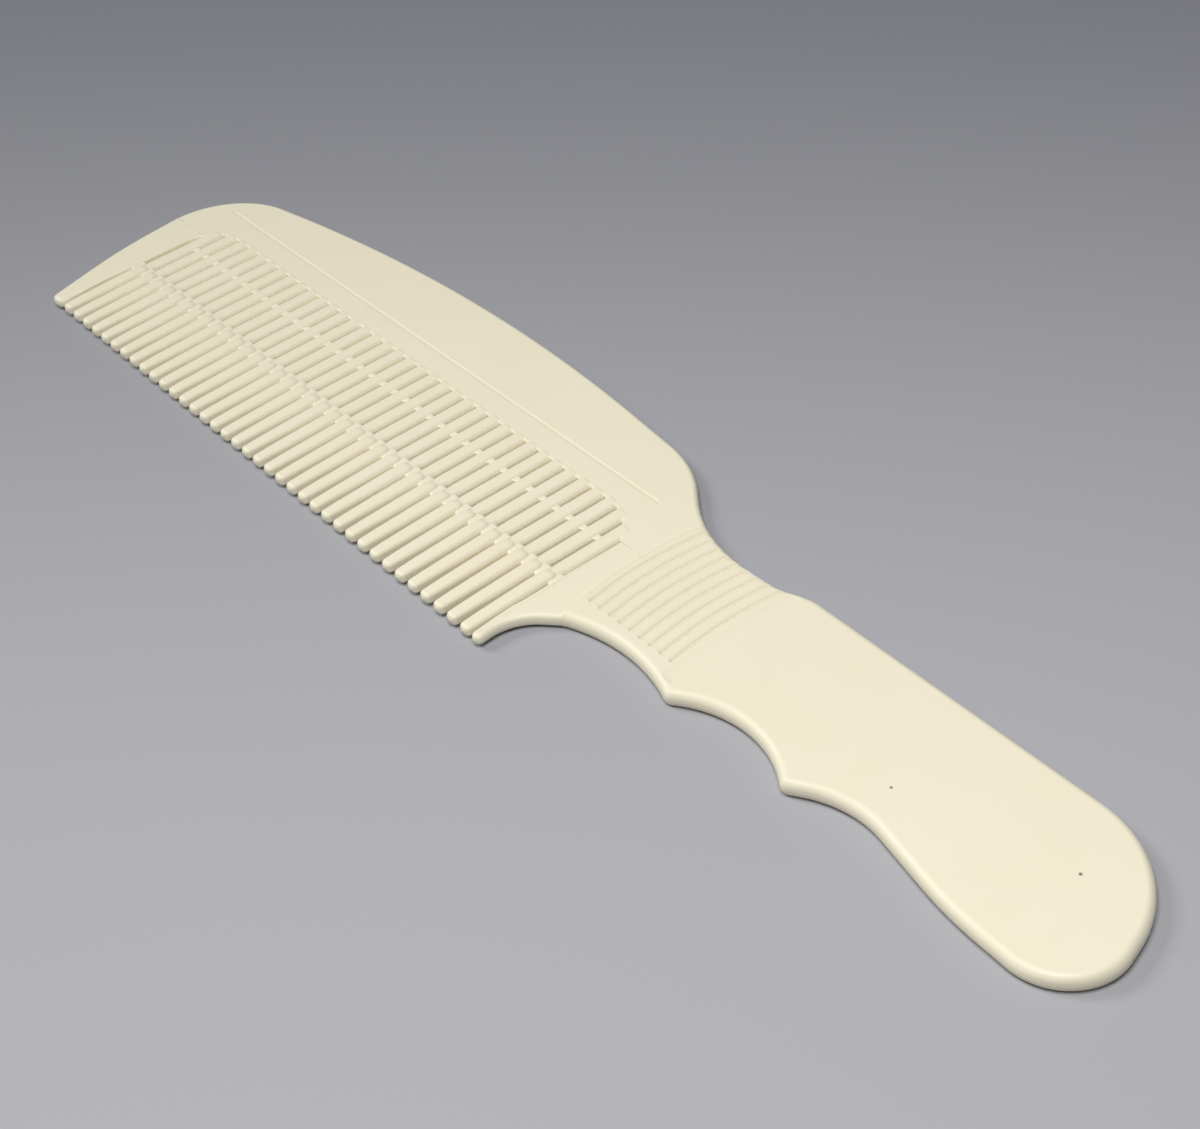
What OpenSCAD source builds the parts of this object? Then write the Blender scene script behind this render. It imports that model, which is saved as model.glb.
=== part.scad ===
// Flat-top clipper comb with a finger-grooved handle, one ivory plastic moulding.
// Drawn as the regions it is designed in: a spine plate, a guard at each end of the tooth row,
// the teeth, the two lines of bridges that tie the teeth together, a ribbed neck and the handle.
// X runs along the comb towards the handle, Y from the tooth tips to the back, Z up.
// Both faces are alike, so everything is built about the mid plane of the handle.

/* [Tooth row] */
// Number of free teeth between the two guards
teeth = 37; // [20:1:48]
// Distance from one tooth to the next
tooth_pitch = 3.4; // [2.6:0.1:5]
// Width of the gap between two teeth
gap_w = 0.6; // [0.4:0.1:1.4]
// Length of a tooth from its tip to the spine plate
tooth_len = 34.2; // [27:0.5:42]
// Thickness of a tooth between the cross web and the spine plate
tooth_t = 2.6; // [2:0.1:3.4]
// Thickness of a tooth where its outer finger meets the cross web
finger_t = 3; // [2.2:0.1:3.6]
// Thickness of a tooth just behind its rounded tip
tip_t = 1.9; // [1:0.1:2]
// Width of a tooth just behind its rounded tip
tip_w = 2.2; // [1.2:0.1:2.4]
// Flat broken off each long edge of a tooth
tooth_edge = 0.5; // [0.2:0.05:0.7]

/* [Bridges between the teeth] */
// Distance from the tooth tips to the near side of the cross web
web_from_tip = 15.1; // [8:0.1:18]
// Width of the cross web along the teeth
web_w = 3; // [1:0.1:3]
// Thickness of the cross web
web_t = 2.6; // [1.5:0.1:2.6]
// Distance from the spine plate to the far side of the root ties
tie_from_root = 6.2; // [4:0.1:8]
// Width of a root tie along the teeth
tie_w = 0.9; // [0.5:0.1:1.5]
// Thickness of a root tie
tie_t = 1.8; // [1:0.1:2.4]

/* [Spine plate and guards] */
// Thickness of the spine plate and both guards
plate_t = 2.4; // [1.8:0.1:3]
// Rounding of the outer edge of the spine plate
plate_edge = 1; // [0.4:0.1:1.1]
// Height of the back above the tooth roots, to the corner that the crown rounds off
crown_rise = 22.3; // [16:0.1:26]
// Radius of the crown
crown_r = 320; // [200:5:340]
// Radius of the nose corner
nose_r = 16; // [12:0.5:17]
// How far the nose stands out past the first gap
nose_out = 10.9; // [9:0.1:13]
// Corner radius of the tooth field beside the nose guard
field_nose_r = 7; // [5:0.5:9]
// Corner radius of the tooth field beside the heel guard
field_heel_r = 11; // [9:0.5:12]
// Distance of the scribed line on the spine plate from the tooth roots
scribe_from_root = 4.9; // [3:0.1:7]
// Radius of the cutter that leaves the scribed line
scribe_r = 0.8; // [0.4:0.1:1.5]
// Depth of the scribed line
scribe_depth = 0.15; // [0.1:0.05:0.3]

/* [Neck] */
// Distance from the last gap to the front of the neck
neck_from_gap = 5.2; // [4.5:0.1:7]
// Length of the neck
neck_len = 24.5; // [22:0.5:32]
// Radius of the bow in the front of the neck and in its grooves
bow_r = 67; // [50:1:120]
// Number of grooves across each face of the neck
grooves = 9; // [4:1:9]
// Distance from one groove to the next
groove_pitch = 2.3; // [1.6:0.1:2.4]
// Width of a groove at the surface
groove_w = 1.1; // [0.6:0.1:1.3]
// Depth of a groove
groove_depth = 0.5; // [0.2:0.05:0.6]
// Distance from the front of the neck to the first groove
groove_first = 1.7; // [1.2:0.1:3]
// Distance from the line of the finger cusps to the ends of the grooves
groove_inset = 6.2; // [5:0.1:9]

/* [Handle] */
// Length of the handle from the neck to its end
handle_len = 76; // [64:0.5:100]
// Thickness of the neck and the handle
grip_t = 3; // [2.6:0.1:4]
// Rounding of the edges of the neck and the handle
grip_edge = 1.3; // [0.6:0.1:1.3]
// Width of the handle from its back to the finger cusps
handle_w = 29; // [25:0.5:36]
// Distance from one finger cusp to the next
finger_pitch = 24; // [21:0.5:28]
// Radius of the finger hollow next to the neck
finger_r = 19; // [16:0.5:21]
// Rounding of the finger cusps
cusp_r = 1.5; // [1.4:0.1:2.5]
// Height of the handle's back above the tooth roots
handle_rise = 5.7; // [3:0.1:8]

/* [Hidden] */
$fn = 48;

// Level of the mid plane, so that the thickest part stands on z = 0
mid_z = max(grip_t, finger_t) / 2;

// Places along X. Gap number k has its middle at k * tooth_pitch, and gap 0 is beside the nose.
tooth_w = tooth_pitch - gap_w;
last_gap_x = teeth * tooth_pitch;
neck_x = last_gap_x + neck_from_gap;
handle_x = neck_x + neck_len;
end_x = handle_x + handle_len;

// Places along Y
root_y = tooth_len;
back_y = root_y + handle_rise;
cusp_y = back_y - handle_w;
scribe_y = root_y + scribe_from_root;
bow_y = root_y - 6.3;

// Where the heel guard's back edge turns towards the neck, rounded as far as its height allows
fork_y = cusp_y * 0.635;
fork_r = min(8.6, 1.85 * (fork_y - grip_edge));

// Where the guards stop and the spine plate starts
nose_top_y = root_y - 3.7;
heel_top_y = root_y - 5.3;

// Rounding of the tips of both guards
guard_tip_r = 1.2;

// The outline as corners, each [x, y, radius], clockwise from the tip of the nose guard: the
// crown, the shoulder behind it, the neck and the handle, the fork beside the neck, and the tip of
// the heel guard
crown_corners = [
    [-3.4, 0, guard_tip_r],
    [-7.9, root_y - 16.6, 98],
    [-nose_out, root_y + 9.5, nose_r],
    [last_gap_x / 2 - 8.4, root_y + crown_rise, crown_r]
];
shoulder = [last_gap_x - 6.1, root_y + 15.3, 22];
grip_corners = [
    [neck_x + 3.4, root_y + 4, 28],
    [handle_x - 4.5, root_y + 4.4, 12],
    [handle_x + 1.2, back_y + 0.7, 6],
    [end_x - 4.6, back_y - 0.3, 19.5],
    [end_x + 1.3, cusp_y + 8.2, 8.9],
    [end_x - 4.8, cusp_y + 0.4, 10],
    [end_x - 20.8, cusp_y + 1.2, 66],
    [handle_x + 1 + finger_pitch + 8.4, cusp_y + 6, 17.7],
    [handle_x + 1 + finger_pitch, cusp_y + 0.9, cusp_r],
    [handle_x + 1 + finger_pitch / 2, cusp_y + 9.6, finger_r],
    [handle_x + 1, cusp_y + 1, cusp_r],
    [neck_x + 14, cusp_y + 5.4, 30],
    [neck_x + 2.3, cusp_y + 1, 3]
];
fork = [last_gap_x + 1.7, fork_y, fork_r];
heel_tip = [last_gap_x + 2.2, 0, guard_tip_r];

// Distance along each side of a corner that its rounding takes up
function corner_reach(before, at, after, r) =
    let (u = (before - at) / norm(before - at), v = (after - at) / norm(after - at))
    r / tan(acos(u * v) / 2);

// Points of the arc that rounds one corner, or the corner itself where the radius is 0
function corner_points(before, at, after, r) =
    r == 0 ? [at] :
    let (
        u = (before - at) / norm(before - at),
        v = (after - at) / norm(after - at),
        reach = corner_reach(before, at, after, r),
        centre = at + (u + v) / norm(u + v) * norm([r, reach]),
        a0 = atan2(at.y + u.y * reach - centre.y, at.x + u.x * reach - centre.x),
        a1 = atan2(at.y + v.y * reach - centre.y, at.x + v.x * reach - centre.x),
        turn = (a1 - a0 + 540) % 360 - 180,
        steps = max(2, ceil(abs(turn) / (r > 50 ? 2.5 : r > 5 ? 8 : 18)))
    )
    [for (i = [0:steps]) centre + r * [cos(a0 + turn * i / steps), sin(a0 + turn * i / steps)]];

// Closed outline from a list of corners. Where a side is too short for the roundings at its two
// ends, both get smaller and leave a little of the side straight.
function rounded_outline(corners) =
    let (
        n = len(corners),
        xy = [for (c = corners) [c.x, c.y]],
        reach = [for (i = [0:n - 1])
            corner_reach(xy[(i + n - 1) % n], xy[i], xy[(i + 1) % n], corners[i][2])],
        fit = [for (i = [0:n - 1])
            let (room = norm(xy[(i + 1) % n] - xy[i]) / (reach[i] + reach[(i + 1) % n]))
            room < 1 ? 0.98 * room : 1]
    )
    [for (i = [0:n - 1]) each
        corner_points(xy[(i + n - 1) % n], xy[i], xy[(i + 1) % n],
            corners[i][2] * min(fit[i], fit[(i + n - 1) % n]))];

outline = rounded_outline(concat(crown_corners, [shoulder], grip_corners, [fork, heel_tip]));

// The neck and the handle have an outline of their own, which ends square in front of the bow
grip_outline = rounded_outline(
    concat([[shoulder.x, shoulder.y, 0]], grip_corners, [[fork.x, fork.y, 0]]));

// Closed outline moved inwards by d on every side, for a clockwise outline
function inset_outline(points, d) =
    let (n = len(points))
    [for (i = [0:n - 1])
        let (
            a = points[i] - points[(i + n - 1) % n],
            b = points[(i + 1) % n] - points[i],
            na = [a.y, -a.x] / norm(a),
            nb = [b.y, -b.x] / norm(b)
        )
        points[i] + d * (na + nb) / (1 + na * nb)];

// Which way the path a, b, c bends: below 0 for a bend to the right
function bend(a, b, c) = (b.x - a.x) * (c.y - b.y) - (b.y - a.y) * (c.x - b.x);

// Whether corner i of a clockwise ring can be cut off as a triangle that holds no other corner
function is_ear(points, ring, i) =
    let (
        n = len(ring),
        a = points[ring[(i + n - 1) % n]],
        b = points[ring[i]],
        c = points[ring[(i + 1) % n]]
    )
    bend(a, b, c) < 0 && len([for (j = ring)
        let (p = points[j])
        if (p != a && p != b && p != c
            && bend(a, b, p) <= 0 && bend(b, c, p) <= 0 && bend(c, a, p) <= 0) j]) == 0;

// Triangles that fill a clockwise ring of points, found by cutting off one corner at a time
function triangles_of(points, ring, i = 0, done = []) =
    let (n = len(ring))
    n == 3 ? concat(done, [ring]) :
    is_ear(points, ring, i % n) ?
        let (k = i % n)
        triangles_of(points, [for (j = [0:n - 1]) if (j != k) ring[j]], k,
            concat(done, [[ring[(k + n - 1) % n], ring[k], ring[(k + 1) % n]]])) :
        triangles_of(points, ring, (i + 1) % n, done);

// Solid through a stack of rings with the same number of points. The triangles of the first ring
// face away from the others, and close the last ring when they are turned round.
module loft(rings, triangles) {
    n = len(rings[0]);
    last = (len(rings) - 1) * n;
    walls = [for (k = [0:len(rings) - 2], i = [0:n - 1])
        let (j = (i + 1) % n)
        [k * n + i, k * n + j, (k + 1) * n + j, (k + 1) * n + i]];
    ends = [for (t = triangles) each [[t[2], t[1], t[0]], [for (i = t) last + i]]];
    polyhedron([for (r = rings) each r], concat(ends, walls), convexity = 10);
}

// Plate of thickness t about the mid plane, its outline edges rounded by r
module rounded_slab(points, t, r) {
    angles = [90, 55, 20, -20, -55, -90];
    rings = [for (a = angles)
        let (z = mid_z - sign(a) * (t / 2 - r) - r * sin(a))
        [for (p = inset_outline(points, r * (1 - cos(a)))) [p.x, p.y, z]]];
    loft(rings, triangles_of(rings[0], [for (i = [0:len(points) - 1]) i]));
}

// Lower edge of the spine plate above tooth number k, lower in both corners of the field
function corner_drop(from_centre, r) =
    from_centre <= 0 ? 0 : r - sqrt(r * r - from_centre * from_centre);
function root_of(k) =
    let (x = (k - 0.5) * tooth_pitch)
    root_y - corner_drop(0.9 * field_nose_r - x, field_nose_r)
        - corner_drop(x - last_gap_x + 0.84 * field_heel_r, field_heel_r);

// Everything below the spine plate: the field of the teeth, with a flat seat for each tooth root,
// and the places of both guards
module below_spine() {
    low_y = -5;
    nose_side = [[-30, low_y], [-30, nose_top_y], [-gap_w / 2, nose_top_y]];
    seats = [for (k = [1:teeth], side = [-0.5, 0.5])
        [(k - 0.5) * tooth_pitch + side * tooth_w, root_of(k)]];
    heel_side = [[last_gap_x + gap_w / 2, heel_top_y], [neck_x + 12, heel_top_y], [neck_x + 12, low_y]];
    translate([0, 0, -1])
        linear_extrude(2 * mid_z + 2)
            polygon(concat(nose_side, seats, heel_side));
}

// Block from corner [x0, y0] to corner [x1, y1], over the whole thickness
module block(x0, y0, x1, y1) {
    translate([x0, y0, -1])
        cube([x1 - x0, y1 - y0, 2 * mid_z + 2]);
}

// Everything on the handle side of the bowed front of the neck
module behind_bow() {
    translate([neck_x + bow_r, bow_y, -1])
        cylinder(h = 2 * mid_z + 2, r = bow_r, $fn = 180);
}

// Ivory moulded plastic
module ivory() {
    color([0.95, 0.93, 0.86])
        children();
}

module spine_plate() {
    cut_z = plate_t / 2 + scribe_r - scribe_depth;
    ivory()
        difference() {
            rounded_slab(outline, plate_t, plate_edge);
            below_spine();
            behind_bow();
            block(neck_x + 10, -10, end_x + 10, back_y + 60);
            for (side = [-1, 1])
                translate([-3.4, scribe_y, mid_z + side * cut_z])
                    rotate([0, 90, 0])
                        cylinder(h = last_gap_x + 4.5, r = scribe_r);
        }
}

module nose_guard() {
    ivory()
        intersection() {
            rounded_slab(outline, plate_t, plate_edge);
            block(-30, -5, -gap_w / 2, nose_top_y);
        }
}

module heel_guard() {
    ivory()
        difference() {
            intersection() {
                rounded_slab(outline, plate_t, plate_edge);
                block(last_gap_x + gap_w / 2, -5, neck_x + 8, heel_top_y);
            }
            behind_bow();
        }
}

// Cross-section of a tooth: a rectangle with its four corners broken
function octagon(w, t, e) = [
    [w / 2, t / 2 - e], [w / 2 - e, t / 2], [e - w / 2, t / 2], [-w / 2, t / 2 - e],
    [-w / 2, e - t / 2], [e - w / 2, -t / 2], [w / 2 - e, -t / 2], [w / 2, e - t / 2]
];

// One tooth: a rounded tip, an outer finger that thickens up to the web, then an even bar
module tooth(k) {
    x = (k - 0.5) * tooth_pitch;
    web_end = web_from_tip + web_w;
    stations = [
        [0, tip_w * 0.45, tip_t * 0.4, 0.15],
        [0.45, tip_w * 0.85, tip_t * 0.85, 0.35],
        [1.1, tip_w, tip_t, 0.4],
        [web_from_tip - 1, tooth_w, finger_t - 0.15, tooth_edge],
        [web_end - 0.6, tooth_w, finger_t, tooth_edge],
        [web_end, tooth_w, tooth_t, tooth_edge],
        [root_of(k), tooth_w, tooth_t, tooth_edge]
    ];
    ivory()
        loft([for (s = stations)
            [for (p = octagon(s[1], s[2], s[3])) [x + p.x, s[0], mid_z + p.y]]],
            [for (i = [1:6]) [0, i, i + 1]]);
}

// Small block that closes one gap between two teeth
module bridge(k, y, w, t) {
    translate([k * tooth_pitch - gap_w / 2, y, mid_z - t / 2])
        cube([gap_w, w, t]);
}

module cross_web() {
    ivory()
        for (k = [0:teeth])
            bridge(k, web_from_tip, web_w, web_t);
}

module root_ties() {
    ivory()
        for (k = [1:teeth - 1])
            bridge(k, root_y - tie_from_root - tie_w, tie_w, tie_t);
}

// Round-bottomed groove that follows the bow and runs out over the back of the neck
module groove(number) {
    cut_r = (groove_w * groove_w / 4 + groove_depth * groove_depth) / (2 * groove_depth);
    start_x = neck_x + groove_first + (number - 1) * groove_pitch;
    low = asin((bow_y - cusp_y - groove_inset) / bow_r);
    high = asin((back_y + 2 - bow_y) / bow_r);
    for (side = [-1, 1])
        translate([start_x + bow_r, bow_y, mid_z + side * (grip_t / 2 + cut_r - groove_depth)]) {
            rotate([0, 0, 180 - high])
                rotate_extrude(angle = high + low, $fn = 180)
                    translate([bow_r, 0])
                        circle(cut_r);
            rotate([0, 0, 180 + low])
                translate([bow_r, 0, 0])
                    sphere(cut_r);
        }
}

module neck_grip() {
    ivory()
        difference() {
            intersection() {
                rounded_slab(grip_outline, grip_t, grip_edge);
                behind_bow();
                block(neck_x - 10, -10, handle_x, back_y + 60);
            }
            for (i = [1:grooves])
                groove(i);
        }
}

module handle() {
    ivory()
        intersection() {
            rounded_slab(grip_outline, grip_t, grip_edge);
            block(handle_x, -10, end_x + 10, back_y + 60);
        }
}

// Middle of the comb's length and width, which the origin stands under
middle = [
    (min([for (p = outline) p.x]) + max([for (p = outline) p.x])) / 2,
    max([for (p = outline) p.y]) / 2
];

function two_digits(k) = k < 10 ? str("0", k) : str(k);
tooth_names = [for (k = [1:teeth]) str("tooth_", two_digits(k))];

module placed() {
    translate([-middle.x, -middle.y, 0])
        children();
}

placed() spine_plate();
placed() nose_guard();
placed() heel_guard();
placed() cross_web();
placed() root_ties();
placed() neck_grip();
placed() handle();
for (k = [1:teeth])
    placed() tooth(k);
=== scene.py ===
"""Flat-top clipper comb in ivory plastic, laid out as an add-on and run as a script."""
import math

import bmesh
import bpy
from mathutils import Matrix, Vector


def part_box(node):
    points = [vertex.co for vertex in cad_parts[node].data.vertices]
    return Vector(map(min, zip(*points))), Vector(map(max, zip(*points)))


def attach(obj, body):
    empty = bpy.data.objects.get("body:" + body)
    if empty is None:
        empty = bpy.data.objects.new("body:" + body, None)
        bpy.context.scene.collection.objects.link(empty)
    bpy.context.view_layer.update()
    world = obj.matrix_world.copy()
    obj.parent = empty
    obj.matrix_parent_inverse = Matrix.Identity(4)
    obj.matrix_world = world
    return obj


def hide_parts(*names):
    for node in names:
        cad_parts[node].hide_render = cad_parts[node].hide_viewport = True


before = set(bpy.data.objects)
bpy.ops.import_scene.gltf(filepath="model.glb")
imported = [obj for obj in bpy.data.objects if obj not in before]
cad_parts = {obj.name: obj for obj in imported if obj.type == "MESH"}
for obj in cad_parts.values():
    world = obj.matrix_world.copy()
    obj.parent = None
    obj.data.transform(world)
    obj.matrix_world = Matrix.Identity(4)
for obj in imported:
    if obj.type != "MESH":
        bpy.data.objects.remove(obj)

bl_info = {
    "name": "Flat-top clipper comb",
    "version": (1, 0, 0),
    "blender": (4, 5, 0),
    "location": "3D View > Sidebar > Comb",
    "description": "Models an ivory plastic clipper comb around its packed frame",
    "category": "Add Mesh",
}

MM = 0.001
UP = Vector((0, 0, 1))

# Sizes of the outline, kept from the design
HANDLE_RISE = 5.7 * MM
HANDLE_W = 29 * MM
FINGER_PITCH = 24 * MM
BOW_DROP = 6.3 * MM
END_BULGE = 0.39 * MM

# Places that the frame gives, in metres. X runs along the comb to the handle, Y from tips to back.
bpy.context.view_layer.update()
TEETH = sorted(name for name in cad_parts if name.startswith("tooth_"))
MIDDLE_TOOTH = TEETH[len(TEETH) // 2]


def centre_x(node):
    low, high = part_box(node)
    return (low.x + high.x) / 2


PITCH = centre_x(TEETH[1]) - centre_x(TEETH[0])
TOOTH_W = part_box(MIDDLE_TOOTH)[1].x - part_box(MIDDLE_TOOTH)[0].x
FINGER_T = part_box(MIDDLE_TOOTH)[1].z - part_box(MIDDLE_TOOTH)[0].z
GAP_W = PITCH - TOOTH_W
TIPS_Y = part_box(MIDDLE_TOOTH)[0].y
ROOT_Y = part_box(MIDDLE_TOOTH)[1].y
FIRST_GAP_X = centre_x(TEETH[0]) - PITCH / 2
LAST_GAP_X = centre_x(TEETH[-1]) + PITCH / 2
NECK_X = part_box("neck_grip")[0].x
HANDLE_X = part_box("handle")[0].x
END_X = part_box("handle")[1].x - END_BULGE
MID_Z = (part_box("handle")[0].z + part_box("handle")[1].z) / 2
PLATE_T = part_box("spine_plate")[1].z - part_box("spine_plate")[0].z
GRIP_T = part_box("handle")[1].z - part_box("handle")[0].z
WEB_Y = (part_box("cross_web")[0].y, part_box("cross_web")[1].y)
TIE_Y = (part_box("root_ties")[0].y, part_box("root_ties")[1].y)
TIE_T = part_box("root_ties")[1].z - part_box("root_ties")[0].z
NOSE_TOP_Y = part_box("nose_guard")[1].y
HEEL_TOP_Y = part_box("heel_guard")[1].y
BACK_Y = ROOT_Y + HANDLE_RISE
CUSP_Y = BACK_Y - HANDLE_W
BOW_Y = ROOT_Y - BOW_DROP


def length(name, description, millimetres):
    """A length in the add-on's settings, given in millimetres and kept in metres."""
    return bpy.props.FloatProperty(
        name=name, description=description, default=millimetres * MM, min=0.0,
        precision=6, unit="LENGTH",
    )


# Specks of dirt: distance past the neck, distance above the cusp line, radius, in millimetres
SPECKS = [(36.0, 10.8, 0.3), (63.2, 17.2, 0.35)]


class CombSizes(bpy.types.PropertyGroup):
    """Sizes of roundings and small relief, which the frame leaves plain."""

    plate_edge: length("Plate edge", "Rounding of the outer edge of the spine plate", 0.9)
    field_edge: length("Field edge", "Rounding of the plate's edge around the teeth", 0.3)
    grip_edge: length("Grip edge", "Rounding of the edges of neck and handle", 1.3)
    parting_h: length("Parting line height", "Height of the ridge the mould halves leave", 0.12)
    parting_out: length("Parting line width", "How far the parting ridge stands out", 0.015)
    tooth_edge: length("Tooth edge", "Rounding of the long edges of a tooth", 0.85)
    tooth_t: length("Tooth thickness", "Thickness of a tooth behind the cross web", 2.6)
    web_bar_t: length("Bar thickness", "Thickness of a tooth where it leaves the cross web", 2.25)
    web_t: length("Web thickness", "Thickness of the cross web, lower than the fingers", 2.05)
    tip_w: length("Tip width", "Width of a tooth at its rounded tip", 2.2)
    tip_t: length("Tip thickness", "Thickness of a tooth at its rounded tip", 1.9)
    root_run: length("Root run", "How far a tooth's root runs on into the plate", 1.6)
    bow_r: length("Bow radius", "Radius of the bowed front of the neck", 67)
    bow_edge: length("Bow edge", "Rounding of the bowed front of the neck", 0.3)
    groove_pitch: length("Groove pitch", "Distance from one neck groove to the next", 2.3)
    groove_first: length("First groove", "Distance from the front of the neck to a groove", 1.7)
    groove_depth: length("Groove depth", "Depth of a neck groove", 0.6)
    groove_low: length("Groove end", "Distance of the groove ends from the cusp line", 5.7)
    valley_depth: length("Valley depth", "Depth of the valley before the handle", 0.25)
    scribe_depth: length("Scribed line depth", "Depth of the line on the spine plate", 0.1)
    grooves: bpy.props.IntProperty(
        name="Grooves", description="Number of grooves across the neck", default=9, min=1, max=9,
    )


class CombFinish(bpy.types.PropertyGroup):
    """Colours and gloss of the comb and its stage."""

    ivory: bpy.props.StringProperty(
        name="Ivory", description="Colour of the plastic, as an sRGB hex value", default="F1ECD7",
    )
    ivory_deep: bpy.props.StringProperty(
        name="Deep ivory", description="Warmer colour that mottles the plastic",
        default="EFE8CE",
    )
    speck: bpy.props.StringProperty(
        name="Speck", description="Colour of the few specks of dirt", default="5A5348",
    )
    roughness: bpy.props.FloatProperty(
        name="Roughness", description="Roughness of the satin surface", default=0.42, min=0, max=1,
        subtype="FACTOR",
    )
    # The two floor tones are painted light: the paper is painted paler where the light falls in
    # front, and darker as painted shade behind the comb.
    floor_lit_front: bpy.props.StringProperty(
        name="Floor in front", description="Colour of the paper nearest the viewer", default="AAABB2",
    )
    floor_shaded_back: bpy.props.StringProperty(
        name="Floor behind", description="Colour of the paper behind the comb", default="85878F",
    )


def sizes():
    return bpy.context.scene.comb_sizes


def finish_settings():
    return bpy.context.scene.comb_finish


# ---------------------------------------------------------------- tools for modelling


def corner(x, dx, y, dy, radius):
    """A corner of an outline: a place plus millimetres, and the radius that rounds it."""
    return Vector((x + dx * MM, y + dy * MM)), radius * MM


# Back, handle and finger side, clockwise from above the nose guard to the heel guard
OUTER_CORNERS = [
    corner(FIRST_GAP_X, -3.4, TIPS_Y, 0, 1.2),
    corner(FIRST_GAP_X, -7.9, ROOT_Y, -16.6, 98),
    corner(FIRST_GAP_X, -10.9, ROOT_Y, 9.5, 16),
    corner((FIRST_GAP_X + LAST_GAP_X) / 2, -8.4, ROOT_Y, 22.3, 320),
    corner(LAST_GAP_X, -6.1, ROOT_Y, 15.3, 22),
    corner(NECK_X, 3.4, ROOT_Y, 4, 28),
    corner(HANDLE_X, -4.5, ROOT_Y, 4.4, 12),
    corner(HANDLE_X, 1.2, BACK_Y, 0.7, 6),
    corner(END_X, -4.6, BACK_Y, -0.3, 19.5),
    corner(END_X, 1.3, CUSP_Y, 8.2, 8.9),
    corner(END_X, -4.8, CUSP_Y, 0.4, 10),
    corner(END_X, -20.8, CUSP_Y, 1.2, 66),
    corner(HANDLE_X + FINGER_PITCH, 9.4, CUSP_Y, 6, 17.7),
    corner(HANDLE_X + FINGER_PITCH, 1, CUSP_Y, 0.9, 1.5),
    corner(HANDLE_X + FINGER_PITCH / 2, 1, CUSP_Y, 9.6, 19),
    corner(HANDLE_X, 1, CUSP_Y, 1, 1.5),
    corner(NECK_X, 14, CUSP_Y, 5.4, 30),
    corner(NECK_X, 2.3, CUSP_Y, 1, 3),
    corner(LAST_GAP_X, 1.7, CUSP_Y, -4, 8.6),
    corner(LAST_GAP_X, 2.2, TIPS_Y, 0, 1),
]

# The edge of the field that the teeth stand in, from the heel guard back to the nose guard
FIELD_CORNERS = [
    corner(LAST_GAP_X + GAP_W / 2, -0.2, TIPS_Y, 0, 1),
    corner(LAST_GAP_X + GAP_W / 2, 0, ROOT_Y, -5.4, 0.3),
    corner(LAST_GAP_X, -5.5, ROOT_Y, 0, 10),
    corner(FIRST_GAP_X - GAP_W / 2, 0, ROOT_Y, 0, 7),
    corner(FIRST_GAP_X - GAP_W / 2, 0, TIPS_Y, 0, 1.2),
]


def edit(piece):
    """Makes one piece the only one in work and opens it in edit mode."""
    bpy.ops.object.select_all(action="DESELECT")
    bpy.context.view_layer.objects.active = piece
    piece.select_set(True)
    bpy.ops.object.mode_set(mode="EDIT")
    bpy.ops.mesh.select_mode(type="VERT")
    bpy.ops.mesh.select_all(action="DESELECT")


def close():
    bpy.ops.object.mode_set(mode="OBJECT")


def select(piece, kind, wanted):
    """Selects the vertices, edges or faces that pass a test, in edit mode."""
    bpy.ops.mesh.select_mode(type=kind)
    bpy.ops.mesh.select_all(action="DESELECT")
    shape = bmesh.from_edit_mesh(piece.data)
    parts = {"VERT": shape.verts, "EDGE": shape.edges, "FACE": shape.faces}[kind]
    for part in parts:
        if wanted(part):
            part.select_set(True)
    bmesh.update_edit_mesh(piece.data)


def middle_of(edge):
    return (edge.verts[0].co + edge.verts[1].co) / 2


def move(x, y, z):
    bpy.ops.transform.translate(value=(x, y, z))


def extrude(x, y, z):
    bpy.ops.mesh.extrude_region_move(TRANSFORM_OT_translate={"value": (x, y, z)})


def pen(name, place):
    """Starts a piece as a single vertex in edit mode."""
    bpy.ops.object.select_all(action="DESELECT")
    bpy.ops.mesh.primitive_plane_add(size=MM)
    piece = bpy.context.object
    piece.name = name
    bpy.ops.object.mode_set(mode="EDIT")
    bpy.ops.mesh.select_mode(type="VERT")
    bpy.ops.mesh.select_all(action="SELECT")
    bpy.ops.mesh.merge(type="CENTER")
    move(*place)
    return piece


def corner_arc(before, at, after, radius):
    """Start, end, centre and turn of the arc that rounds a corner, anticlockwise above zero."""
    back = (before - at).normalized()
    ahead = (after - at).normalized()
    half = back.angle(ahead) / 2
    reach = radius / math.tan(half)
    centre = at + (back + ahead).normalized() * radius / math.sin(half)
    turn = math.copysign(math.pi - 2 * half, ahead.x * back.y - ahead.y * back.x)
    return at + back * reach, at + ahead * reach, centre, turn


def trace(name, corners, z):
    """Draws a closed outline at height z and fills it: a vertex is extruded along each straight
    and spun round each corner."""
    slack = 0.004 * MM
    points = [at for at, radius in corners]
    arcs = [
        corner_arc(points[i - 1], points[i], points[(i + 1) % len(points)], corners[i][1])
        for i in range(len(points))
    ]
    piece = pen(name, (*arcs[0][0], z))
    for i, (start, end, centre, turn) in enumerate(arcs):
        radius = corners[i][1]
        if radius > 0:
            step = 2 * math.sqrt(2 * slack / radius)
            steps = max(3, math.ceil(abs(turn) / step))
            bpy.ops.mesh.spin(steps=steps, angle=-turn, center=(*centre, z), axis=UP)
        ahead = arcs[(i + 1) % len(arcs)][0] - end
        extrude(ahead.x, ahead.y, 0)
    bpy.ops.mesh.select_all(action="SELECT")
    bpy.ops.mesh.remove_doubles(threshold=0.001 * MM)
    bpy.ops.mesh.edge_face_add()
    if all(face.normal.z < 0 for face in bmesh.from_edit_mesh(piece.data).faces):
        bpy.ops.mesh.flip_normals()
    return piece


def face_out(piece):
    """Turns all faces of a closed shape outwards."""
    edit(piece)
    bpy.ops.mesh.select_all(action="SELECT")
    bpy.ops.mesh.remove_doubles(threshold=0.0005 * MM)
    bpy.ops.mesh.normals_make_consistent(inside=False)
    close()


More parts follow.
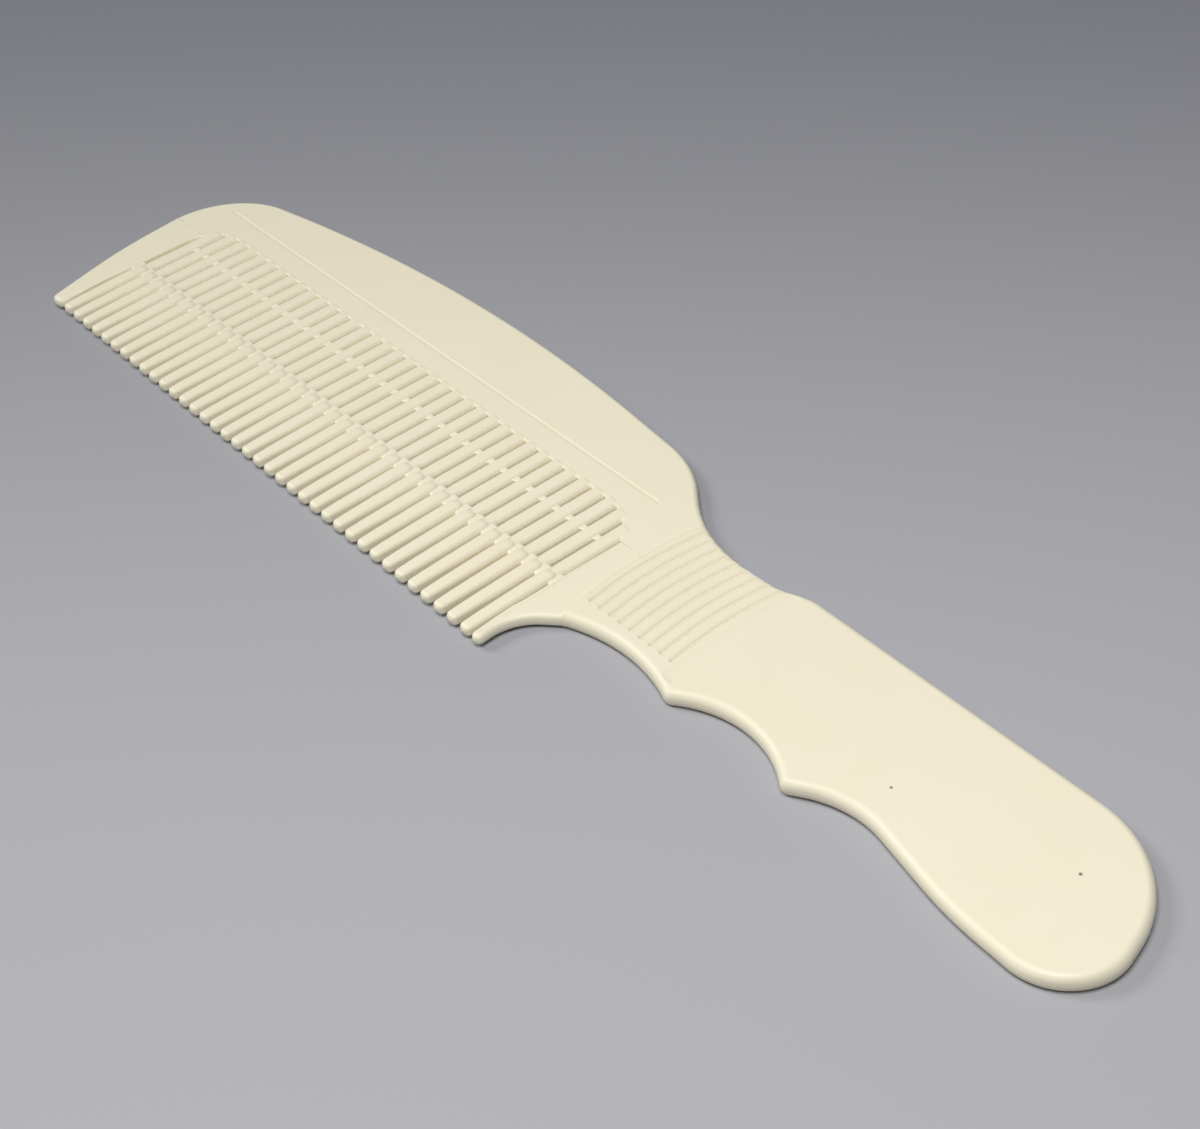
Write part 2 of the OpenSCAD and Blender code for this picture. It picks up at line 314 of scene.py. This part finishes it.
def round_edges(piece, wanted, radius, segments):
    """Rounds the edges that pass a test, in edit mode."""
    select(piece, "EDGE", wanted)
    bpy.ops.mesh.bevel(
        offset=radius, segments=segments, profile=0.5, affect="EDGES", clamp_overlap=False,
    )


def slab(name, corners, thickness, parting_h, parting_out):
    """A slab about z = 0 with a thin parting ridge round its middle, left in edit mode."""
    piece = trace(name, corners, -thickness / 2)
    levels = (-parting_h / 2, parting_h / 2, thickness / 2)
    z = -thickness / 2
    for level in levels:
        extrude(0, 0, level - z)
        z = level
    select(piece, "FACE", lambda f: abs(f.normal.z) < 0.5
           and abs(f.calc_center_median().z) < parting_h / 4)
    bpy.ops.mesh.extrude_region_shrink_fatten(
        TRANSFORM_OT_shrink_fatten={"value": parting_out})
    return piece


def block(x, y, z):
    """A box between two places on each axis, for cutting."""
    bpy.ops.object.select_all(action="DESELECT")
    bpy.ops.mesh.primitive_cube_add(size=1)
    piece = bpy.context.object
    piece.scale = (x[1] - x[0], y[1] - y[0], z[1] - z[0])
    piece.location = ((x[0] + x[1]) / 2, (y[0] + y[1]) / 2, (z[0] + z[1]) / 2)
    bpy.ops.object.transform_apply(location=True, rotation=False, scale=True)
    return piece


def disc(centre, radius, height, vertices=256):
    """An upright round cutter about z = 0."""
    bpy.ops.object.select_all(action="DESELECT")
    bpy.ops.mesh.primitive_cylinder_add(
        vertices=vertices, radius=radius, depth=height, location=(*centre, 0))
    bpy.ops.object.transform_apply(location=True, rotation=False, scale=True)
    return bpy.context.object


def combine(piece, other, operation, keep=False):
    """Cuts, joins or trims a piece with another closed shape, and removes the other."""
    bpy.ops.object.select_all(action="DESELECT")
    bpy.context.view_layer.objects.active = piece
    piece.select_set(True)
    bpy.ops.object.modifier_add(type="BOOLEAN")
    step = piece.modifiers[-1]
    step.operation = operation
    step.solver = "EXACT"
    step.object = other
    bpy.ops.object.modifier_apply(modifier=step.name)
    if not keep:
        bpy.data.objects.remove(other)


def duplicate(piece, name):
    """A copy of a piece with its own mesh."""
    twin = piece.copy()
    twin.data = piece.data.copy()
    twin.name = name
    bpy.context.scene.collection.objects.link(twin)
    return twin


def slice_off(piece, place, side):
    """Cuts a piece by a plane, drops what lies on its side and closes the cut."""
    edit(piece)
    bpy.ops.mesh.select_all(action="SELECT")
    bpy.ops.mesh.bisect(plane_co=place, plane_no=side, use_fill=True, clear_outer=True)
    close()


def score(piece, place, normal):
    """Cuts a loop of edges into a piece without changing its shape, in edit mode."""
    bpy.ops.mesh.select_all(action="SELECT")
    bpy.ops.mesh.bisect(plane_co=place, plane_no=normal)


def hand_over(piece, material, *nodes):
    """Puts a finished piece in its place: level, smooth, riding on the body, for its node."""
    bpy.ops.object.select_all(action="DESELECT")
    bpy.context.view_layer.objects.active = piece
    piece.select_set(True)
    piece.location.z += MID_Z
    bpy.ops.object.transform_apply(location=True, rotation=True, scale=True)
    bpy.ops.object.shade_smooth_by_angle(angle=math.radians(35))
    bpy.ops.object.modifier_add(type="WEIGHTED_NORMAL")
    weighting = piece.modifiers[-1]
    weighting.keep_sharp = True
    weighting.weight = 80
    bpy.ops.object.modifier_apply(modifier=weighting.name)
    piece.data.materials.clear()
    piece.data.materials.append(material)
    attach(piece, "root")
    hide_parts(*nodes)


# ---------------------------------------------------------------- materials


def linear(hex_value):
    """Linear colour from an sRGB hex value."""
    channels = [int(hex_value[i:i + 2], 16) / 255 for i in (0, 2, 4)]
    return [*(c / 12.92 if c <= 0.04045 else ((c + 0.055) / 1.055) ** 2.4 for c in channels), 1]


def add_node(tree, kind, settings=None, values=None, links=None):
    """Adds a node with its settings, socket values and incoming links."""
    node = tree.nodes.new(kind)
    for name, value in (settings or {}).items():
        setattr(node, name, value)
    for name, value in (values or {}).items():
        node.inputs[name].default_value = value
    for name, source in (links or {}).items():
        tree.links.new(source, node.inputs[name])
    return node


def satin_moulded_plastic():
    """Ivory polypropylene from a polished mould: an even satin body with a broad soft gleam, a
    barely warmer mottle from the melt, and a fine grain that breaks the gleam up."""
    known = bpy.data.materials.get("satin_moulded_plastic")
    if known:
        return known
    look = finish_settings()
    material = bpy.data.materials.new("satin_moulded_plastic")
    material.use_nodes = True
    tree = material.node_tree
    tree.nodes.clear()
    place = add_node(tree, "ShaderNodeTexCoord").outputs["Object"]

    # The melt's mottle: patches about 18 mm across, almost too faint to see
    mottle = add_node(tree, "ShaderNodeTexNoise", values={
        "Scale": 1 / (18 * MM), "Detail": 3.0, "Roughness": 0.55}, links={"Vector": place})
    tint = add_node(tree, "ShaderNodeMix", {"data_type": "RGBA"}, links={
        "Factor": mottle.outputs[0]})
    tint.inputs[6].default_value = linear(look.ivory)
    tint.inputs[7].default_value = linear(look.ivory_deep)

    # A few specks of dirt on the handle, each a fraction of a millimetre across
    colour = tint.outputs[2]
    for dx, dy, radius in SPECKS:
        spot = (HANDLE_X + dx * MM, CUSP_Y + dy * MM, MID_Z + GRIP_T / 2)
        far = add_node(tree, "ShaderNodeVectorMath", {"operation": "DISTANCE"},
                       links={"Vector": place})
        far.inputs[1].default_value = spot
        fade = add_node(tree, "ShaderNodeMapRange", {"interpolation_type": "SMOOTHSTEP"}, values={
            "From Min": radius * MM * 0.5, "From Max": radius * MM,
            "To Min": 0.8, "To Max": 0.0}, links={"Value": far.outputs["Value"]})
        layer = add_node(tree, "ShaderNodeMix", {"data_type": "RGBA"},
                         links={"Factor": fade.outputs["Result"]})
        tree.links.new(colour, layer.inputs[6])
        layer.inputs[7].default_value = linear(look.speck)
        colour = layer.outputs[2]

    # The mould's fine grain, truly about 0.05 mm, drawn at 0.3 mm so that it shows at all
    grain = add_node(tree, "ShaderNodeTexNoise", values={
        "Scale": 1 / (0.3 * MM), "Detail": 2.0}, links={"Vector": place})
    grain_height = grain.outputs[0]
    # The faint long waves that a cooling moulding sinks into, about 12 mm across
    sink = add_node(tree, "ShaderNodeTexNoise", values={
        "Scale": 1 / (12 * MM), "Detail": 1.0}, links={"Vector": place})
    sink_height = sink.outputs[0]
    waves = add_node(tree, "ShaderNodeBump", values={
        "Strength": 0.25, "Distance": 0.12 * MM}, links={"Height": sink_height})
    relief = add_node(tree, "ShaderNodeBump", values={
        "Strength": 0.12, "Distance": 0.02 * MM},
        links={"Height": grain_height, "Normal": waves.outputs["Normal"]})
    gloss = add_node(tree, "ShaderNodeMapRange", values={
        "To Min": look.roughness - 0.04, "To Max": look.roughness + 0.06},
        links={"Value": grain_height})
    shader = add_node(tree, "ShaderNodeBsdfPrincipled", values={
        "IOR": 1.49, "Metallic": 0.0}, links={
        "Base Color": colour, "Roughness": gloss.outputs["Result"],
        "Normal": relief.outputs["Normal"]})
    add_node(tree, "ShaderNodeOutputMaterial", links={"Surface": shader.outputs["BSDF"]})
    return material


def matt_paper():
    """Matt paper backdrop: a pale grey with a painted light falloff, paler in front and painted shade
    behind, and a soft tooth that keeps it from looking bare.
    """
    look = finish_settings()
    material = bpy.data.materials.new("matt_paper")
    material.use_nodes = True
    tree = material.node_tree
    tree.nodes.clear()
    place = add_node(tree, "ShaderNodeTexCoord").outputs["Object"]
    # Painted light falloff: the sweep is painted paler in front and darker behind the comb, where the
    # light falls off
    turn = add_node(tree, "ShaderNodeMapping", values={
        "Rotation": (0, 0, math.radians(-45))}, links={"Vector": place})
    ahead = add_node(tree, "ShaderNodeSeparateXYZ", links={"Vector": turn.outputs["Vector"]})
    fall = add_node(tree, "ShaderNodeMapRange", {"interpolation_type": "SMOOTHSTEP"}, values={
        "From Min": -80 * MM, "From Max": 220 * MM}, links={"Value": ahead.outputs["Y"]})
    tone = add_node(tree, "ShaderNodeMix", {"data_type": "RGBA"}, links={
        "Factor": fall.outputs["Result"]})
    tone.inputs[6].default_value = linear(look.floor_lit_front)
    tone.inputs[7].default_value = linear(look.floor_shaded_back)
    # Paper tooth, drawn at 0.6 mm
    tooth = add_node(tree, "ShaderNodeTexNoise", values={
        "Scale": 1 / (0.6 * MM), "Detail": 3.0}, links={"Vector": place})
    relief = add_node(tree, "ShaderNodeBump", values={
        "Strength": 0.15, "Distance": 0.05 * MM}, links={"Height": tooth.outputs[0]})
    shader = add_node(tree, "ShaderNodeBsdfPrincipled", values={
        "Roughness": 0.75}, links={
        "Base Color": tone.outputs[2], "Normal": relief.outputs["Normal"]})
    add_node(tree, "ShaderNodeOutputMaterial", links={"Surface": shader.outputs["BSDF"]})
    return material


# ---------------------------------------------------------------- pieces


def plate_blank():
    """The spine plate with both guards in one, rounded, with the back and neck still whole."""
    known = bpy.data.objects.get("plate_blank")
    if known:
        return known
    size = sizes()
    half = PLATE_T / 2
    piece = slab("plate_blank", OUTER_CORNERS + FIELD_CORNERS, PLATE_T,
                 size.parting_h, size.parting_out)

    def in_field(edge):
        at = middle_of(edge)
        return (FIRST_GAP_X - GAP_W < at.x < LAST_GAP_X + GAP_W
                and TIPS_Y + 1.25 * MM < at.y < ROOT_Y + 0.01 * MM)

    def level(edge):
        return all(abs(abs(v.co.z) - half) < 0.01 * MM for v in edge.verts)

    round_edges(piece, lambda e: level(e) and not in_field(e), size.plate_edge, 5)
    round_edges(piece, lambda e: level(e) and in_field(e)
                and any(abs(f.normal.z) < 0.1 for f in e.link_faces), size.field_edge, 3)
    close()
    bow = disc((NECK_X + size.bow_r, BOW_Y), size.bow_r, 10 * MM)
    combine(piece, bow, "DIFFERENCE")
    return piece


def thin_towards_tip(piece, tip_t):
    """Thins a guard from the cross web to its tip, as the teeth do."""
    stations = 8
    edit(piece)
    for i in range(stations + 1):
        y = TIPS_Y + (WEB_Y[0] - TIPS_Y) * i / stations
        score(piece, (0, y, 0), (0, 1, 0))
    shape = bmesh.from_edit_mesh(piece.data)
    for vertex in shape.verts:
        along = (vertex.co.y - TIPS_Y) / (WEB_Y[0] - TIPS_Y)
        if along < 1:
            vertex.co.z *= 1 - (1 - tip_t / PLATE_T) * (1 - max(along, 0)) ** 1.5
    bmesh.update_edit_mesh(piece.data)
    close()


class COMB_OT_spine_plate(bpy.types.Operator):
    """Spine plate above the teeth, with its scribed line"""

    bl_idname = "comb.spine_plate"
    bl_label = "Spine plate"

    def execute(self, context):
        size = sizes()
        piece = duplicate(plate_blank(), "comb_spine_plate")
        for x, top in (((-1, FIRST_GAP_X + MM), NOSE_TOP_Y), ((LAST_GAP_X - MM, 1), HEEL_TOP_Y)):
            combine(piece, block(x, (-1, top), (-1, 1)), "DIFFERENCE")
        line_rise = 4.9 * MM
        for side in (-1, 1):
            combine(piece, scribing_bar(ROOT_Y + line_rise, side, size.scribe_depth), "DIFFERENCE")
        face_out(piece)
        hand_over(piece, satin_moulded_plastic(), "spine_plate")
        return {"FINISHED"}


def scribing_bar(line_y, side, depth):
    """A round bar that leaves the scribed line: straight, then bending and rising out."""
    radius = 0.7 * MM
    bend_r = 9 * MM
    start = FIRST_GAP_X - 2.5 * MM
    straight = LAST_GAP_X - 3 * MM - start
    z = side * (PLATE_T / 2 + radius - depth)
    bpy.ops.object.select_all(action="DESELECT")
    bpy.ops.mesh.primitive_circle_add(
        vertices=24, radius=radius, fill_type="NGON", location=(start, line_y, z),
        rotation=(0, math.pi / 2, 0))
    piece = bpy.context.object
    bpy.ops.object.transform_apply(location=True, rotation=True, scale=True)
    bpy.ops.object.mode_set(mode="EDIT")
    bpy.ops.mesh.select_all(action="SELECT")
    extrude(straight, 0, 0)
    steps = 8
    turn = math.radians(3.5)
    for i in range(steps):
        heading = turn * (i + 0.5)
        run = bend_r * turn
        extrude(run * math.cos(heading), run * math.sin(heading), side * depth / steps * 1.2)
    close()
    face_out(piece)
    return piece


class COMB_OT_guards(bpy.types.Operator):
    """Guards at the nose and heel ends of the tooth row"""

    bl_idname = "comb.guards"
    bl_label = "Guards"

    def execute(self, context):
        size = sizes()
        nose = duplicate(plate_blank(), "comb_nose_guard")
        # Each guard runs into the plate by a hair, so that no seam shows
        overlap = 0.03 * MM
        slice_off(nose, (0, NOSE_TOP_Y + overlap, 0), (0, 1, 0))
        slice_off(nose, (FIRST_GAP_X + MM, 0, 0), (1, 0, 0))
        heel = duplicate(plate_blank(), "comb_heel_guard")
        slice_off(heel, (0, HEEL_TOP_Y + overlap, 0), (0, 1, 0))
        slice_off(heel, (LAST_GAP_X - MM, 0, 0), (-1, 0, 0))
        for piece, node in ((nose, "nose_guard"), (heel, "heel_guard")):
            thin_towards_tip(piece, size.tip_t)
            face_out(piece)
            hand_over(piece, satin_moulded_plastic(), node)
        return {"FINISHED"}


def rounded_bar(name, y0, y1, width, thickness, edge):
    """A straight bar along Y about the mid plane with its long edges rounded."""
    piece = block((-width / 2, width / 2), (y0, y1), (-thickness / 2, thickness / 2))
    piece.name = name
    edit(piece)
    select(piece, "EDGE", lambda e: abs((e.verts[0].co - e.verts[1].co).y) > (y1 - y0) / 2)
    bpy.ops.mesh.bevel(offset=edge, segments=5, profile=0.5, affect="EDGES")
    close()
    return piece


def shape_along(piece, stations):
    """Scales the cross-section of a bar at stations (y, share of width, share of thickness)."""
    edit(piece)
    ends = (stations[0][0], stations[-1][0])
    for y, wide, thick in stations[1:-1]:
        score(piece, (0, y, 0), (0, 1, 0))
    for y, wide, thick in stations:
        select(piece, "VERT", lambda v: abs(v.co.y - y) < 0.002 * MM)
        bpy.ops.transform.resize(value=(wide, 1, thick), center_override=(0, y, 0))
    close()


def dome(y_end, y_full, wide, thick, steps=6):
    """Stations of a rounded end, from its last point to where it has its full section."""
    stations = []
    for i in range(steps + 1):
        angle = math.pi / 2 * i / steps
        share = max(math.sin(angle), 0.12)
        stations.append((y_full + (y_end - y_full) * math.cos(angle), wide * share, thick * share))
    return stations


class COMB_OT_teeth(bpy.types.Operator):
    """The free teeth: one is modelled and copied along the row"""

    bl_idname = "comb.teeth"
    bl_label = "Teeth"

    def execute(self, context):
        size = sizes()
        tip_dome = 0.85 * MM
        finger_dome = 2.1 * MM
        root_dome = 1.5 * MM
        finger_end = WEB_Y[1]
        finger = rounded_bar("comb_tooth", TIPS_Y, finger_end, TOOTH_W, FINGER_T, size.tooth_edge)
        tip = (size.tip_w / TOOTH_W, size.tip_t / FINGER_T)
        web_front = WEB_Y[0] - 1.2 * MM
        stations = dome(TIPS_Y, TIPS_Y + tip_dome, *tip)
        for share in (0.25, 0.5, 0.75, 0.92):
            grow = 1 - (1 - share) ** 1.4
            stations.append((TIPS_Y + share * (web_front - TIPS_Y),
                             tip[0] + (1 - tip[0]) * grow, tip[1] + (1 - tip[1]) * share))
        stations.append((web_front, 1, 1))
        stations += dome(finger_end, finger_end - finger_dome, 1, 1)[::-1]
        shape_along(finger, stations)
        root_end = ROOT_Y + size.root_run
        bar_start = WEB_Y[0] - 0.5 * MM
        bar = rounded_bar("bar", bar_start, root_end, TOOTH_W, size.tooth_t,
                          size.tooth_edge * 0.95)
        low = size.web_bar_t / size.tooth_t
        # The bar starts inside the finger, a little narrower than it
        shape_along(bar, [(bar_start, 0.9, low), (WEB_Y[1] + 1 * MM, 1, low),
                          ((WEB_Y[1] + root_end) / 2, 1, (1 + low) / 2)]
                    + dome(root_end, root_end - root_dome, 1, 1)[::-1])
        combine(finger, bar, "UNION")
        face_out(finger)
        for name in TEETH:
            piece = duplicate(finger, "comb_" + name)
            root_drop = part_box(name)[1].y - ROOT_Y
            edit(piece)
            select(piece, "VERT", lambda v: v.co.y > root_end - root_dome - 0.2 * MM)
            if abs(root_drop) > 0.01 * MM:
                move(0, root_drop, 0)
            bpy.ops.mesh.select_all(action="SELECT")
            move(centre_x(name), 0, 0)
            close()
            hand_over(piece, satin_moulded_plastic(), name)
        bpy.data.objects.remove(finger)
        return {"FINISHED"}


def row_of_blocks(name, first_x, count, y, thickness, edge, slope):
    """A row of small rounded blocks, one in each gap, whose ends are buried in the teeth. The
    corner towards the tips and the nose is drawn out by slope."""
    bury = 0.35 * MM
    piece = block((first_x - GAP_W / 2 - bury, first_x + GAP_W / 2 + bury), y,
                  (-thickness / 2, thickness / 2))
    piece.name = name
    edit(piece)
    select(piece, "VERT", lambda v: v.co.y < y[0] + 0.01 * MM and v.co.x < first_x)
    move(0, -slope, 0)
    select(piece, "EDGE", lambda e: abs(middle_of(e).x - first_x) < 0.01 * MM)
    bpy.ops.mesh.bevel(offset=edge, segments=4, profile=0.5, affect="EDGES")
    close()
    bpy.ops.object.modifier_add(type="ARRAY")
    row = piece.modifiers[-1]
    row.count = count
    row.use_relative_offset = False
    row.use_constant_offset = True
    row.constant_offset_displace = (PITCH, 0, 0)
    bpy.ops.object.modifier_apply(modifier=row.name)
    face_out(piece)
    return piece


class COMB_OT_bridges(bpy.types.Operator):
    """Cross web and root ties, which hold the teeth together"""

    bl_idname = "comb.bridges"
    bl_label = "Bridges"

    def execute(self, context):
        web_edge = 0.5 * MM
        tie_edge = 0.3 * MM
        tie_slope = 0.7 * MM
        web = row_of_blocks("comb_cross_web", FIRST_GAP_X, len(TEETH) + 1, WEB_Y,
                            sizes().web_t, web_edge, 0)
        ties = row_of_blocks("comb_root_ties", FIRST_GAP_X + PITCH, len(TEETH) - 1, TIE_Y,
                             TIE_T, tie_edge, tie_slope)
        hand_over(web, satin_moulded_plastic(), "cross_web")
        hand_over(ties, satin_moulded_plastic(), "root_ties")
        return {"FINISHED"}


def grip_blank():
    """The whole outline at the thickness of the grip, with rounded edges."""
    known = bpy.data.objects.get("grip_blank")
    if known:
        return known
    size = sizes()
    half = GRIP_T / 2
    piece = slab("grip_blank", OUTER_CORNERS, GRIP_T, size.parting_h, size.parting_out)
    round_edges(piece, lambda e: all(abs(abs(v.co.z) - half) < 0.01 * MM for v in e.verts),
                size.grip_edge, 7)
    close()
    return piece


def rib_cutter(side):
    """What is cut away between the ribs: a scalloped strip moved along the bow from the back
    of the neck, and rising out of the surface at its lower end."""
    size = sizes()
    top = GRIP_T / 2
    above = 0.03 * MM
    per_rib = 12
    count = size.grooves * per_rib
    first = NECK_X + size.groove_first - size.groove_pitch / 2

    def depth(i):
        # A rib is half round across: level on its crest, deepest in the groove
        from_groove = abs(2 * (i / per_rib % 1) - 1)
        from_crest = 1 - from_groove
        return above + size.groove_depth * (1 - math.sqrt(1 - from_crest ** 2.4))

    def bow_x(y):
        return size.bow_r - math.sqrt(size.bow_r ** 2 - (y - BOW_Y) ** 2)

    high_y = BACK_Y + 8 * MM
    low_y = CUSP_Y + size.groove_low
    piece = pen("rib_cutter", (first + bow_x(high_y), high_y, side * (top - depth(0))))
    for i in range(count):
        extrude(size.groove_pitch / per_rib, 0, -side * (depth(i + 1) - depth(i)))
    bpy.ops.mesh.select_all(action="SELECT")
    rows = 30
    fades = (0.93, 0.8, 0.6, 0.3, 0.05)
    fade_run = 0.16 * MM
    y = high_y
    for i in range(rows):
        step = (low_y + fade_run * len(fades) - high_y) / rows
        extrude(bow_x(y + step) - bow_x(y), step, 0)
        y += step
    share = 1
    for fade in fades:
        extrude(bow_x(y - fade_run) - bow_x(y), -fade_run, 0)
        y -= fade_run
        bpy.ops.transform.resize(value=(1, 1, fade / share),
                                 center_override=(0, 0, side * (top + above)))
        share = fade
    bpy.ops.mesh.select_all(action="SELECT")
    extrude(0, 0, side * 2 * MM)
    close()
    face_out(piece)
    return piece


def valley_cutter(side):
    """A long round-ended bar that leaves the shallow valley in front of the handle."""
    size = sizes()
    half_w = 1.7 * MM
    radius = (half_w ** 2 + size.valley_depth ** 2) / (2 * size.valley_depth)
    x = HANDLE_X - 1.0 * MM
    low_y = CUSP_Y + 4.4 * MM
    z = side * (GRIP_T / 2 + radius - size.valley_depth)
    bpy.ops.object.select_all(action="DESELECT")
    bpy.ops.mesh.primitive_cylinder_add(
        vertices=96, radius=radius, depth=40 * MM, location=(x, low_y + 20 * MM, z),
        rotation=(math.pi / 2, 0, 0))
    bar = bpy.context.object
    bpy.ops.object.transform_apply(location=True, rotation=True, scale=True)
    bpy.ops.mesh.primitive_uv_sphere_add(
        segments=96, ring_count=48, radius=radius, location=(x, low_y, z))
    end = bpy.context.object
    bpy.ops.object.transform_apply(location=True, rotation=True, scale=True)
    combine(bar, end, "UNION")
    return bar


class COMB_OT_neck_grip(bpy.types.Operator):
    """Neck with its bowed front, ribs and the valley in front of the handle"""

    bl_idname = "comb.neck_grip"
    bl_label = "Neck grip"

    def execute(self, context):
        size = sizes()
        piece = duplicate(grip_blank(), "comb_neck_grip")
        slice_off(piece, (HANDLE_X, 0, 0), (1, 0, 0))
        centre = Vector((NECK_X + size.bow_r, BOW_Y))
        combine(piece, disc(centre, size.bow_r, 10 * MM), "INTERSECT")

        for side in (1, -1):
            combine(piece, rib_cutter(side), "DIFFERENCE")
            combine(piece, valley_cutter(side), "DIFFERENCE")

        def on_bow(face):
            at = face.calc_center_median()
            return abs(face.normal.z) < 0.1 and abs((at.xy - centre).length - size.bow_r) < 0.02 * MM

        edit(piece)
        round_edges(piece, lambda e: len(e.link_faces) == 2
                    and on_bow(e.link_faces[0]) != on_bow(e.link_faces[1])
                    and all(abs(abs(v.co.z) - GRIP_T / 2) < 0.02 * MM for v in e.verts),
                    size.bow_edge, 4)
        close()
        face_out(piece)
        hand_over(piece, satin_moulded_plastic(), "neck_grip")
        return {"FINISHED"}


class COMB_OT_handle(bpy.types.Operator):
    """Flat handle with its finger hollows"""

    bl_idname = "comb.handle"
    bl_label = "Handle"

    def execute(self, context):
        front_edge = 0.15 * MM
        piece = duplicate(grip_blank(), "comb_handle")
        slice_off(piece, (HANDLE_X, 0, 0), (-1, 0, 0))

        def on_front_rim(edge):
            return all(abs(v.co.x - HANDLE_X) < 0.01 * MM
                       and abs(abs(v.co.z) - GRIP_T / 2) < 0.01 * MM for v in edge.verts)

        edit(piece)
        round_edges(piece, on_front_rim, front_edge, 3)
        close()
        face_out(piece)
        hand_over(piece, satin_moulded_plastic(), "handle")
        for name in ("plate_blank", "grip_blank"):
            bpy.data.objects.remove(bpy.data.objects[name])
        return {"FINISHED"}


def soft_light(name, place, target, size, power, colour):
    """A square soft light that faces a target."""
    data = bpy.data.lights.new(name, "AREA")
    data.shape = "SQUARE"
    data.size = size
    data.energy = power
    data.color = linear(colour)[:3]
    lamp = bpy.data.objects.new(name, data)
    bpy.context.scene.collection.objects.link(lamp)
    lamp.location = place
    lamp.rotation_euler = (Vector(target) - Vector(place)).to_track_quat("-Z", "Y").to_euler()
    return lamp


class COMB_OT_stage(bpy.types.Operator):
    """Floor, soft studio light and camera"""

    bl_idname = "comb.stage"
    bl_label = "Stage"

    def execute(self, context):
        scene = context.scene
        scene.view_settings.view_transform = "Standard"
        bpy.ops.object.select_all(action="DESELECT")
        bpy.ops.mesh.primitive_plane_add(size=6)
        floor = context.object
        floor.name = "stage_floor"
        floor.data.materials.append(matt_paper())

        world = bpy.data.worlds.new("studio_air")
        scene.world = world
        world.use_nodes = True
        world.node_tree.nodes["Background"].inputs["Color"].default_value = linear("F4F6FF")
        world.node_tree.nodes["Background"].inputs["Strength"].default_value = 0.14

        soft_light("key_light", (-1.1, -0.6, 1.1), (0, 0, 0), 0.6, 10, "FFFDF8")
        soft_light("handle_light", (0.16, -0.14, 0.5), (0.08, -0.03, 0), 0.25, 2.18, "FFFDF8")

        # The camera looks along the comb from the handle end, from above the finger side
        data = bpy.data.cameras.new("view")
        data.sensor_width = 36
        data.lens = 67.23
        camera = bpy.data.objects.new("view", data)
        scene.collection.objects.link(camera)
        right = Vector((0.62799, 0.77270, -0.09253))
        up = Vector((-0.45836, 0.46332, 0.75845))
        back = Vector((0.62893, -0.43388, 0.64514))
        turned = Matrix((right, up, back)).transposed().to_4x4()
        camera.matrix_world = Matrix.Translation(
            (NECK_X + 209.53 * MM, ROOT_Y - 157.53 * MM, 220.64 * MM)) @ turned
        scene.camera = camera
        return {"FINISHED"}


STEPS = ("stage", "spine_plate", "guards", "teeth", "bridges", "neck_grip", "handle")


class COMB_PT_panel(bpy.types.Panel):
    """Steps and settings of the comb"""

    bl_idname = "COMB_PT_panel"
    bl_label = "Clipper comb"
    bl_space_type = "VIEW_3D"
    bl_region_type = "UI"
    bl_category = "Comb"

    def draw(self, context):
        for step in STEPS:
            self.layout.operator("comb." + step)
        for settings in (context.scene.comb_sizes, context.scene.comb_finish):
            box = self.layout.box()
            for name in settings.__annotations__:
                box.prop(settings, name)


CLASSES = (
    CombSizes, CombFinish, COMB_OT_stage, COMB_OT_spine_plate, COMB_OT_guards, COMB_OT_teeth,
    COMB_OT_bridges, COMB_OT_neck_grip, COMB_OT_handle, COMB_PT_panel,
)


def register():
    for cls in CLASSES:
        bpy.utils.register_class(cls)
    bpy.types.Scene.comb_sizes = bpy.props.PointerProperty(type=CombSizes)
    bpy.types.Scene.comb_finish = bpy.props.PointerProperty(type=CombFinish)


def unregister():
    del bpy.types.Scene.comb_finish
    del bpy.types.Scene.comb_sizes
    for cls in reversed(CLASSES):
        bpy.utils.unregister_class(cls)


def main():
    register()
    for step in STEPS:
        getattr(bpy.ops.comb, step)()


if __name__ == "__main__":
    main()
